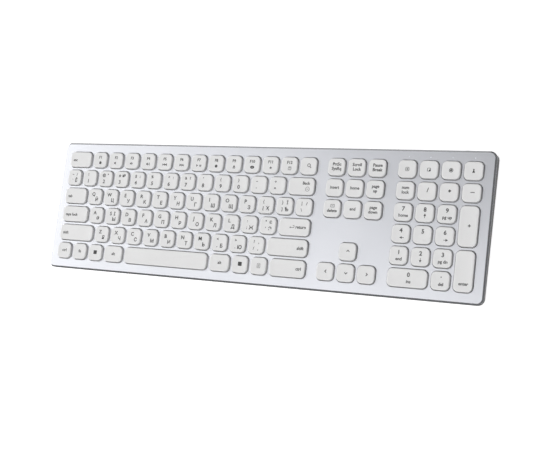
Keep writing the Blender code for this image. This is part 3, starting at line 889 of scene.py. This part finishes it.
def keys_of(node):
    """Name, place and legend of each keycap of a CAD node."""
    low, high = deck_box(node)
    if node in SINGLE_KEYS:
        return [(node.removesuffix("_key"), Key(low, high), SINGLE_KEYS[node])]
    row = GROUP_KEYS[node]
    pitch = (high.x - low.x + KEY_GAP) / sum(units for _, units, _ in row)
    made = []
    start = low.x
    for name, units, legend in row:
        end = start + units * pitch - KEY_GAP
        key = Key(Vector((start, low.y, low.z)), Vector((end, high.y, high.z)))
        made.append((name, key, legend))
        start = end + KEY_GAP
    return made


def make_keys():
    """Every keycap and legend. Returns the places of the caps for the plate's holes."""
    places = []
    for node in (*GROUP_KEYS, *SINGLE_KEYS):
        ink = Print()
        for name, key, legend in keys_of(node):
            add(key.cap(f"cap_{name}"), node)
            legend(ink, key)
            places.append(key)
        ink.finish(node)
    return places


# ---------------------------------------------------------------- case

SEAM = 0.1 * MM  # between stacked pieces
STEEP, FLAT = 0.3, 0.9  # a chamfer's normal in z lies between these
LENS_RADIUS = 0.7 * MM
LENS_CLEARANCE = 0.03 * MM
BIT_CLEARANCE = 0.3 * MM  # round screws, socket and knob


def lens_places():
    """Middles of the four lenses, one behind each key of the keypad's top row."""
    low, high = deck_box("indicator_light_guide")
    row = [keys_of(f"shortcut_{number}_key")[0][1] for number in range(1, 5)]
    return [(key.x, (low.y + high.y) / 2) for key in row]


def make_plate(keys):
    """Aluminium sheet with a cut chamfer, and a hole with a broken edge for each keycap."""
    low, high = deck_box("top_plate")
    width, depth = high.x - low.x, high.y - low.y

    def edge(inset, height):
        outline = rounded(width - 2 * inset, depth - 2 * inset, PLATE_CORNER - inset, CASE_STEPS)
        return raised(outline, height)

    shape = bmesh.new()
    loft(shape, [edge(0, low.z), edge(0, -CHAMFER_DEPTH), edge(CHAMFER_WIDTH, 0)])
    for face in shape.faces:
        face.normal_update()
        if STEEP < abs(face.normal.z) < FLAT:
            face.material_index = 1
    plate = finished("deck_plate", shape, FINISHES["plate"])
    plate.data.materials.append(FINISHES["cut"])

    def levels(edge_break):
        return ((low.z - OVERSHOOT, 0), (-edge_break, 0), (edge_break, 2 * edge_break))

    holes = bmesh.new()
    for key in keys:
        rings = []
        for height, growth in levels(HOLE_BREAK):
            grow = HOLE_CLEARANCE + growth
            outline = rounded(
                key.width + 2 * grow, key.depth + 2 * grow, CAP_CORNER + grow, CORNER_STEPS,
                key.x, key.y,
            )
            rings.append(raised(outline, height))
        loft(holes, rings)
    for x, y in lens_places():
        radius = LENS_RADIUS + LENS_CLEARANCE
        rings = [raised(disc(x, y, radius + grow), height) for height, grow in levels(LENS_BREAK)]
        loft(holes, rings)
    cut(plate, finished("holes", holes, FINISHES["plate"]))
    plate.data.transform(DECK)
    add(plate, "top_plate")


def level_height(y, level):
    """World height, over a world y, of a plane that is level in the deck's frame."""
    middle = DECK @ Vector((0, 0, level))
    return middle.z + (y - middle.y) * math.tan(TILT)


def add_block(shape, low, high, radius=0.0):
    """Adds an upright block to a shape, with round corners in plan."""
    width, depth = high.x - low.x, high.y - low.y
    x, y = (low.x + high.x) / 2, (low.y + high.y) / 2
    if radius:
        outline = rounded(width, depth, radius, SMALL_STEPS, x, y)
    else:
        outline = bar(x, y, width, depth)
    loft(shape, [raised(outline, low.z), raised(outline, high.z)])


def upright(outline, y):
    """An outline in x and z as a ring at one y."""
    return [(x, y, z) for x, z in outline]


COVER_CORNER = 5.8 * MM
POCKET_MARGIN = Vector((1.0 * MM, 0.6 * MM, 0))  # round the battery and the board
POCKET_CORNER = 1.0 * MM
RECESS_HALF_SIZE = Vector((30 * MM, 11 * MM, 0))
RECESS_DEPTH = 0.2 * MM
RECESS_CORNER = 2.0 * MM

KNOB_WIDTH = 3.4 * MM
KNOB_HEIGHT = 1.8 * MM
KNOB_TRAVEL = max(joint["range_m"][1] for joint in frame["joints"] if joint["axis"][0] > 0.9)
KNOB_CORNER = 0.35 * MM
KNOB_BREAK = 0.15 * MM
KNOB_STEPS = 3
TIP_CORNER = 0.25 * MM
FLANGE_THICKNESS = 0.8 * MM
FLANGE_CORNER = 0.2 * MM
RIB_WIDTH = 0.35 * MM
RIB_HEIGHT = 0.15 * MM
RIB_ROOT = 0.1 * MM  # into the knob's face
RIB_MARGIN = 0.3 * MM  # from the knob's long edges
RIB_CORNER = 0.12 * MM
RIB_PITCH = 0.85 * MM
SLOT_CORNER = 0.3 * MM
MOUTH_FLARE = 0.5 * MM  # how far the socket's opening widens
MOUTH_FLARE_DEPTH = 0.25 * MM

SCREW_HEAD = 1.9 * MM  # radius
SCREW_HEAD_HEIGHT = 1.0 * MM
SCREW_SHANK = 1.0 * MM  # radius
SEAT_CHAMFER = 0.25 * MM
SEAT_SIDES = 32
THREAD_STEP = 0.25 * MM
THREAD_ROOT = 0.85  # of the shank's radius
SCREW_TIP = 0.8  # of the shank's radius
SCREW_DOME = ((0, 0.7), (0.12 * MM, 0.9), (0.35 * MM, 1.0))  # height, share of the radius
CROSS_REACH = 1.1 * MM
CROSS_HALF_WIDTH = 0.22 * MM
CROSS_DEPTH = 0.6 * MM
FOOT_STEPS = 10
FOOT_LEVELS = (  # inset, and height over the foot's underside
    (0, 0.25 * MM), (0.08 * MM, 0.08 * MM), (0.25 * MM, 0), (0.8 * MM, 0), (1.0 * MM, 0.12 * MM),
)
SCREWS = ("front_left_screw", "front_right_screw", "rear_left_screw", "rear_right_screw")
FEET = ("front_left_foot", "front_right_foot", "rear_left_foot", "rear_right_foot")


def make_cover():
    """Tray with a sloping rim and a rounded lower edge, and its pockets and openings."""
    low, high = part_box("bottom_cover")
    middle_y = (low.y + high.y) / 2
    width, depth = high.x - low.x, high.y - low.y
    rim_level = plate_low.z - plate_high.z - SEAM
    floor_level = deck_box("support_plate")[0].z - SEAM

    def edge(inset, height):
        radius = COVER_CORNER - inset
        outline = rounded(
            width - 2 * inset, depth - 2 * inset, radius, CASE_STEPS, 0, middle_y
        )
        return [(x, y, height(y)) for x, y in outline]

    rings = [
        edge(COVER_WALL, lambda y: level_height(y, floor_level)),
        edge(COVER_WALL, lambda y: level_height(y, rim_level)),
        edge(0, lambda y: level_height(y, rim_level)),
    ]
    for step in range(FILLET_STEPS + 1):
        angle = math.radians(90) * step / FILLET_STEPS
        drop = COVER_FILLET * (1 - math.sin(angle))
        rings.append(
            edge(COVER_FILLET * (1 - math.cos(angle)), lambda y, drop=drop: low.z + drop)
        )
    shape = bmesh.new()
    loft(shape, rings)
    cover = finished("base_shell", shape, FINISHES["cover"])
    cut_pockets(cover, low)
    cut_openings(cover, high)
    add(cover, "bottom_cover")


def cut_pockets(cover, low):
    """Space for the battery and the board, screw seats, and a shallow recess underneath."""
    shape = bmesh.new()
    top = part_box("top_plate")[1].z
    for node in ("battery_pack", "controller_board"):
        part_low, part_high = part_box(node)
        pocket_low = part_low - POCKET_MARGIN
        pocket_high = part_high + POCKET_MARGIN
        pocket_low.z = part_low.z - SEAM
        pocket_high.z = top
        add_block(shape, pocket_low, pocket_high, POCKET_CORNER)
    for node in SCREWS:
        screw_low, screw_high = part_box(node)
        x, y = (screw_low.x + screw_high.x) / 2, (screw_low.y + screw_high.y) / 2
        seat = screw_low.z + SCREW_HEAD_HEIGHT
        bore = SCREW_SHANK + BIT_CLEARANCE
        head = SCREW_HEAD + BIT_CLEARANCE
        levels = (
            (low.z - OVERSHOOT, head + OVERSHOOT),
            (low.z + SEAT_CHAMFER, head),
            (seat, head),
            (seat, bore),
            (top, bore),
        )
        loft(shape, [raised(disc(x, y, radius, SEAT_SIDES), height) for height, radius in levels])
    below = Vector((0, 0, low.z - OVERSHOOT))
    roof = Vector((0, 0, low.z + RECESS_DEPTH))
    add_block(shape, below - RECESS_HALF_SIZE, roof + RECESS_HALF_SIZE, RECESS_CORNER)
    cut(cover, finished("pockets", shape, FINISHES["cover"]))


def cut_openings(cover, high):
    """The knob's slot and the charging socket's mouth in the rear wall."""

    def cut_out(name, shape):
        cut(cover, finished(name, shape, FINISHES["cover"]))

    shape = bmesh.new()
    slide_low, slide_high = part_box("power_switch_slider")
    left = (slide_low.x + slide_high.x - KNOB_WIDTH) / 2 - BIT_CLEARANCE
    right = left + KNOB_WIDTH + KNOB_TRAVEL + 2 * BIT_CLEARANCE
    middle_z = (slide_low.z + slide_high.z) / 2
    half = KNOB_HEIGHT / 2 + BIT_CLEARANCE
    middle_x = (left + right) / 2
    slot = rounded(right - left, 2 * half, SLOT_CORNER, SMALL_STEPS, middle_x, middle_z)
    inside = high.y - 1.5 * COVER_WALL
    loft(shape, [upright(slot, inside), upright(slot, high.y + OVERSHOOT)])
    cut_out("slot", shape)
    shape = bmesh.new()
    hidden_low = slide_low - Vector((1, 1, 1)) * BIT_CLEARANCE
    hidden_high = Vector((slide_high.x + KNOB_TRAVEL + BIT_CLEARANCE, high.y - COVER_WALL, high.z))
    add_block(shape, hidden_low, hidden_high)
    cut_out("slider_space", shape)
    shape = bmesh.new()
    socket_low, socket_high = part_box("usb_c_socket")
    size = socket_high - socket_low + 2 * Vector((1, 1, 1)) * BIT_CLEARANCE
    x, z = (socket_low.x + socket_high.x) / 2, (socket_low.z + socket_high.z) / 2
    end = size.z / 2 - SEAM
    mouth = rounded(size.x, size.z, end, OVAL_STEPS, x, z)
    wide, tall = size.x + 2 * MOUTH_FLARE, size.z + 2 * MOUTH_FLARE
    flare = rounded(wide, tall, end + MOUTH_FLARE, OVAL_STEPS, x, z)
    loft(
        shape,
        [
            upright(mouth, socket_low.y - BIT_CLEARANCE),
            upright(mouth, high.y - MOUTH_FLARE_DEPTH),
            upright(flare, high.y + MOUTH_FLARE_DEPTH),
        ],
    )
    cut_out("mouth", shape)


def make_feet():
    """Rubber pads with a rounded rim and a shallow hollow underneath."""
    for node in FEET:
        low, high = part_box(node)
        x, y = (low.x + high.x) / 2, (low.y + high.y) / 2
        width, depth = high.x - low.x, high.y - low.y
        rings = []
        for inset, height in ((0, high.z - low.z), *FOOT_LEVELS):
            end = depth / 2 - SEAM - inset
            outline = rounded(width - 2 * inset, depth - 2 * inset, end, FOOT_STEPS, x, y)
            rings.append(raised(outline, low.z + height))
        shape = bmesh.new()
        loft(shape, rings)
        foot = finished(f"pad_{node}", shape, FINISHES["rubber"])
        add(foot, node)


def make_screws():
    """Pan-head screws with a cross recess and a threaded shank."""
    for node in SCREWS:
        low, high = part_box(node)
        x, y = (low.x + high.x) / 2, (low.y + high.y) / 2
        seat = low.z + SCREW_HEAD_HEIGHT
        levels = [(low.z + height, share * SCREW_HEAD) for height, share in SCREW_DOME]
        levels.append((seat, SCREW_HEAD))
        for turn in range(int((high.z - seat) / THREAD_STEP)):
            radius = SCREW_SHANK if turn % 2 == 0 else THREAD_ROOT * SCREW_SHANK
            levels.append((seat + THREAD_STEP * turn, radius))
        levels.append((high.z, SCREW_TIP * SCREW_SHANK))
        shape = bmesh.new()
        loft(shape, [raised(disc(x, y, radius), height) for height, radius in levels])
        screw = finished(f"fine_{node}", shape, FINISHES["screw"])
        cross = bmesh.new()
        long, short = CROSS_REACH, CROSS_HALF_WIDTH
        plus = [
            (short, short), (short, long), (-short, long), (-short, short), (-long, short),
            (-long, -short), (-short, -short), (-short, -long), (short, -long), (short, -short),
            (long, -short), (long, short),
        ]
        plus = [(x + px, y + py) for px, py in plus]
        loft(cross, [raised(plus, low.z - MM), raised(plus, low.z + CROSS_DEPTH)])
        cut(screw, finished("cross", cross, FINISHES["screw"]))
        add(screw, node)


def make_slider():
    """Ribbed knob of the power switch, with the flange that keeps it in the wall."""
    low, high = deck_box("power_switch_slider")
    x, z = (low.x + high.x) / 2, (low.z + high.z) / 2
    face = high.y - RIB_HEIGHT
    flange_end = low.y + FLANGE_THICKNESS
    shape = bmesh.new()
    wide = rounded(high.x - low.x, high.z - low.z, FLANGE_CORNER, KNOB_STEPS, x, z)
    knob = rounded(KNOB_WIDTH, KNOB_HEIGHT, KNOB_CORNER, KNOB_STEPS, x, z)
    tip = rounded(
        KNOB_WIDTH - 2 * KNOB_BREAK, KNOB_HEIGHT - 2 * KNOB_BREAK, TIP_CORNER, KNOB_STEPS, x, z
    )
    loft(
        shape,
        [
            upright(wide, low.y), upright(wide, flange_end), upright(knob, flange_end),
            upright(knob, face - KNOB_BREAK), upright(tip, face),
        ],
    )
    for step in (-1, 0, 1):
        ridge = rounded(
            RIB_WIDTH, KNOB_HEIGHT - 2 * RIB_MARGIN, RIB_CORNER, KNOB_STEPS, x + step * RIB_PITCH, z
        )
        loft(shape, [upright(ridge, face - RIB_ROOT), upright(ridge, high.y)])
    slider = finished("slide_knob", shape, FINISHES["knob"], DECK)
    add(slider, "power_switch_slider")


SHELL_WALL = 0.3 * MM
SHELL_BREAK = 0.1 * MM
SOCKET_BACK = 1.0 * MM
TONGUE_WIDTH = 6.6 * MM
TONGUE_THICKNESS = 0.7 * MM
TONGUE_CORNER = 0.2 * MM
TIP_WIDTH = 6.3 * MM
TIP_THICKNESS = 0.45 * MM
TONGUE_TIP_CORNER = 0.15 * MM
TONGUE_SETBACK = 1.0 * MM  # from the socket's mouth
TONGUE_ROOT = 0.2 * MM  # into the socket's back
TONGUE_BEVEL = 0.2 * MM


def make_socket():
    """Thin steel shell, open to the rear, with the contact tongue inside."""
    low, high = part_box("usb_c_socket")
    x, z = (low.x + high.x) / 2, (low.z + high.z) / 2
    width, height = high.x - low.x, high.z - low.z

    def oval(inset):
        end = height / 2 - SEAM - inset
        return rounded(width - 2 * inset, height - 2 * inset, end, OVAL_STEPS, x, z)

    back = low.y + SOCKET_BACK
    shape = bmesh.new()
    loft(
        shape,
        [
            upright(oval(SHELL_WALL), back), upright(oval(SHELL_WALL), high.y - SHELL_BREAK),
            upright(oval(SHELL_WALL / 2), high.y), upright(oval(0), high.y - SHELL_BREAK),
            upright(oval(0), low.y),
        ],
    )
    add(finished("charging_shell", shape, FINISHES["socket"]), "usb_c_socket")
    tongue = bmesh.new()
    blade = rounded(TONGUE_WIDTH, TONGUE_THICKNESS, TONGUE_CORNER, SMALL_STEPS, x, z)
    tip = rounded(TIP_WIDTH, TIP_THICKNESS, TONGUE_TIP_CORNER, SMALL_STEPS, x, z)
    tip_y = high.y - TONGUE_SETBACK
    loft(
        tongue,
        [
            upright(blade, back - TONGUE_ROOT), upright(blade, tip_y - TONGUE_BEVEL),
            upright(tip, tip_y),
        ],
    )
    add(
        finished("charging_tongue", tongue, FINISHES["tongue"]), "usb_c_socket",
        replaced=False,
    )


GUIDE_BAR_TOP = -1.4 * MM  # in the deck's frame, from the plate's top face
GUIDE_CORNER = 0.3 * MM
LENS_DOME = 0.2 * MM
LENS_SIDES = 20


def make_light_guide():
    """Clear bar with four domed pins that end in the plate's small holes."""
    low, high = deck_box("indicator_light_guide")
    shape = bmesh.new()
    add_block(shape, low, Vector((high.x, high.y, GUIDE_BAR_TOP)), GUIDE_CORNER)
    for x, y in lens_places():
        levels = [(GUIDE_BAR_TOP - LENS_DOME, LENS_RADIUS), (high.z - LENS_DOME, LENS_RADIUS)]
        for share in (0.5, 0.8, 1.0):
            angle = math.radians(80) * share
            drop = LENS_DOME * (1 - math.sin(angle))
            levels.append((high.z - drop, LENS_RADIUS * math.cos(angle)))
        loft(shape, [raised(disc(x, y, radius, LENS_SIDES), height) for height, radius in levels])
    lens_bar = finished("lens_bar", shape, FINISHES["lens"], DECK)
    add(lens_bar, "indicator_light_guide")


def dress_inner_parts():
    """Finishes for the CAD nodes that stay: the layers and the electronics."""
    kept = {
        "rubber_dome_sheet": "silicone",
        "membrane_sheet": "film",
        "support_plate": "support",
        "controller_board": "board",
        "battery_pack": "battery",
    }
    for node, name in kept.items():
        for place in frame["nodes"][node].material_slots:
            place.material = FINISHES[name]


# ---------------------------------------------------------------- stage


FLOOR_REACH = 15  # metres from the middle
FLOOR_GLOW = 0.7
BACKDROP_COLOUR = (0.97, 0.98, 1.0, 1)
BACKDROP_STRENGTH = 0.15


def make_floor():
    shape = bmesh.new()
    bmesh.ops.create_grid(shape, x_segments=8, y_segments=8, size=FLOOR_REACH)
    floor = finished(
        "floor",
        shape,
        finish(
            "pale_floor", grey(0.93), grey(0.96), (0.85, 0.95), 1.0, 0.02, 0.00001,
            Emission_Strength=FLOOR_GLOW,
        ),
    )


def softbox(name, place, size_x, size_y, radiance, aim=(0, 0, 0)):
    """A rectangular light of even brightness, turned to the keyboard."""
    light = bpy.data.lights.new(name, "AREA")
    light.shape = "RECTANGLE"
    light.size = size_x
    light.size_y = size_y
    light.energy = radiance * math.pi * size_x * size_y
    made = bpy.data.objects.new(name, light)
    made.location = place
    made.rotation_euler = (Vector(aim) - Vector(place)).to_track_quat("-Z", "Y").to_euler()
    bpy.context.scene.collection.objects.link(made)


def make_lights():
    scene = bpy.context.scene
    scene.world = bpy.data.worlds.new("studio")
    scene.world.use_nodes = True
    backdrop = scene.world.node_tree.nodes["Background"]
    backdrop.inputs["Color"].default_value = BACKDROP_COLOUR
    backdrop.inputs["Strength"].default_value = BACKDROP_STRENGTH
    softbox("left_softbox", (-4.59, 0.65, 1.87), 4.2, 3.4, 2.6)
    softbox("key_softbox", (-2.68, 0.24, 3.22), 3.4, 2.6, 0.85)
    softbox("top_softbox", (0.2, -1.1, 3.0), 3.6, 2.4, 1.42, aim=(0.2, -1.1, 0))
    softbox("front_softbox", (-0.54, -2.03, 3.64), 3.2, 2.6, 1.1)
    softbox("rear_softbox", (-1.86, 2.22, 3.45), 3.0, 3.0, 0.15)
    softbox("low_softbox", (-2.34, 4.22, 1.29), 3.4, 2.0, 0.25)


CAMERA_AIM = Vector((0.0270, -0.0082, 0.0090))
CAMERA_AZIMUTH = math.radians(-18.15)
CAMERA_ELEVATION = math.radians(61.50)
CAMERA_ROLL = math.radians(-66.10)
CAMERA_DISTANCE = 0.8703
CAMERA_LENS = 63.83  # millimetres, on a sensor 36 mm wide
CAMERA_NEAREST = 0.01


def make_camera():
    flat = math.cos(CAMERA_ELEVATION)
    away = Vector(
        (
            flat * math.cos(CAMERA_AZIMUTH),
            flat * math.sin(CAMERA_AZIMUTH),
            math.sin(CAMERA_ELEVATION),
        )
    )
    camera = bpy.data.cameras.new("camera")
    camera.lens = CAMERA_LENS
    camera.clip_start = CAMERA_NEAREST
    made = bpy.data.objects.new("camera", camera)
    level = away.to_track_quat("Z", "Y").to_matrix().to_4x4()
    roll = Matrix.Rotation(CAMERA_ROLL, 4, "Z")
    made.matrix_world = Matrix.Translation(CAMERA_AIM + CAMERA_DISTANCE * away) @ level @ roll
    bpy.context.scene.collection.objects.link(made)
    bpy.context.scene.camera = made


def main():
    keys = make_keys()
    make_plate(keys)
    make_cover()
    make_feet()
    make_screws()
    make_slider()
    make_socket()
    make_light_guide()
    dress_inner_parts()
    make_floor()
    make_lights()
    make_camera()
    bpy.context.scene.view_settings.view_transform = "Standard"


main()
